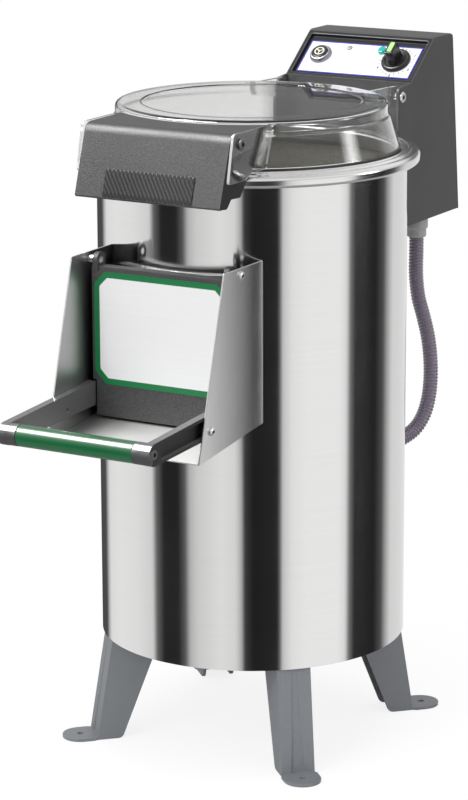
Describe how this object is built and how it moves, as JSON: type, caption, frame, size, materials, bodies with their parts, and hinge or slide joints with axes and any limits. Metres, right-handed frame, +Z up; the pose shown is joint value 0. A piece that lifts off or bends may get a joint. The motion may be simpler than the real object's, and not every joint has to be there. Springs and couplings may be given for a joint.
{
  "type": "potato peeler machine",
  "caption": "Floor-standing drum peeler with a clear hinged lid, a front latch hood, a chute with a swinging door and lever, a spinning abrasive disc and a rear control box.",
  "frame": {"origin": "on the floor, at the middle of the machine's outline box", "axes": "+Z up, the chute and lever face -Y, +X to the right as seen from the front"},
  "size_m": [0.432, 0.8474, 0.887],
  "materials": {
    "steel": "brushed",
    "cast_metal": "cast",
    "iron": "painted",
    "grit": "bonded abrasive grit",
    "leg_paint": "satin grey paint",
    "lever_paint": "satin dark grey",
    "dark_plastic": "fine grain",
    "clear_plastic": "clear polished",
    "green_plastic": "glossy",
    "label": "printed label, green border, white field",
    "panel": "printed plate, white with a blue border",
    "black_plastic": "satin",
    "teal_plastic": "glossy",
    "pale_plastic": "satin",
    "conduit_plastic": "satin",
    "rubber": "matt"
  },
  "bodies": {
    "machine": {"drum_shell": "steel", "abrasive_liner": "grit", "rim_ring": "steel", "chamber_deck": "steel", "discharge_neck": "steel", "chute_floor": "steel", "chute_cheek_right": "steel", "chute_cheek_left": "steel", "door_pin_right": "steel", "door_pin_left": "steel", "lever_pin_right": "steel", "lever_pin_left": "steel", "door_seal": "rubber", "leg_front_left": "leg_paint", "leg_front_right": "leg_paint", "leg_rear_right": "leg_paint", "leg_rear_left": "leg_paint", "base_ring": "steel", "control_box": "dark_plastic", "box_back_cover": "dark_plastic", "lid_hinge_screw_right": "steel", "lid_hinge_screw_left": "steel", "panel_plate": "panel", "timer_unit": "black_plastic", "stop_bezel": "cast_metal", "switch_carrier": "black_plastic", "pilot_lens": "pale_plastic", "contactor": "black_plastic", "box_bracket": "steel", "bearing_housing": "cast_metal", "lower_bearing": "steel", "upper_bearing": "steel", "shaft_seal": "rubber", "motor": "iron", "motor_bracket": "steel", "drive_belt": "rubber", "drain_pipe": "pale_plastic", "water_inlet": "pale_plastic", "gland_box": "pale_plastic", "gland_drum": "pale_plastic", "conduit": "conduit_plastic"},
    "lid_body": {"lid": "clear_plastic", "lid_gasket": "rubber", "latch_screw_right": "steel", "latch_screw_left": "steel"},
    "latch_body": {"latch_hood": "dark_plastic"},
    "door_body": {"discharge_door": "dark_plastic", "door_label": "label"},
    "lever_body": {"lever_arm_right": "lever_paint", "lever_arm_left": "lever_paint", "lever_grip": "green_plastic", "lever_tie_rod": "steel"},
    "disc_body": {"drive_shaft": "steel", "abrasive_disc": "grit", "disc_cap": "steel", "driven_pulley": "cast_metal"},
    "rotor_body": {"motor_pulley": "cast_metal"},
    "knob_body": {"timer_knob": "black_plastic"},
    "start_body": {"start_button": "teal_plastic"},
    "stop_body": {"stop_button": "black_plastic"}
  },
  "joints": [
    {"name": "lid_hinge", "type": "hinge", "parent": "machine", "child": "lid_body", "pos_m": [0, 0.2463, 0.818], "axis": [-1, 0, 0], "range_deg": [0, 95]},
    {"name": "latch_pivot", "type": "hinge", "parent": "lid_body", "child": "latch_body", "pos_m": [0, -0.206, 0.8216], "axis": [-1, 0, 0], "range_deg": [0, 10], "stiffness_Nm_per_rad": 0.6, "springref_deg": -5.73},
    {"name": "door_hinge", "type": "hinge", "parent": "machine", "child": "door_body", "pos_m": [0, -0.2102, 0.661], "axis": [-1, 0, 0], "range_deg": [0, 65]},
    {"name": "lever_pivot", "type": "hinge", "parent": "machine", "child": "lever_body", "pos_m": [0, -0.2827, 0.4815], "axis": [1, 0, 0], "range_deg": [0, 28]},
    {"name": "disc_spin", "type": "hinge", "parent": "machine", "child": "disc_body", "pos_m": [0, 0.0113, 0.4], "axis": [0, 0, 1], "continuous": true},
    {"name": "rotor_spin", "type": "hinge", "parent": "machine", "child": "rotor_body", "pos_m": [0, 0.1233, 0.29], "axis": [0, 0, 1], "continuous": true},
    {"name": "timer_turn", "type": "hinge", "parent": "machine", "child": "knob_body", "pos_m": [0.0555, 0.30502, 0.85837], "axis": [0, 0.6092, -0.7931], "range_deg": [0, 300]},
    {"name": "start_press", "type": "slide", "parent": "machine", "child": "start_body", "axis": [0, 0.6092, -0.7931], "range_m": [0, 0.0025], "stiffness_N_per_m": 500, "springref_m": -0.002},
    {"name": "stop_press", "type": "slide", "parent": "machine", "child": "stop_body", "axis": [0, 0.6092, -0.7931], "range_m": [0, 0.004], "stiffness_N_per_m": 500, "springref_m": -0.002}
  ],
  "couplings": [
    {"joint": "rotor_spin", "follows": "disc_spin", "ratio": 3.718}
  ]
}
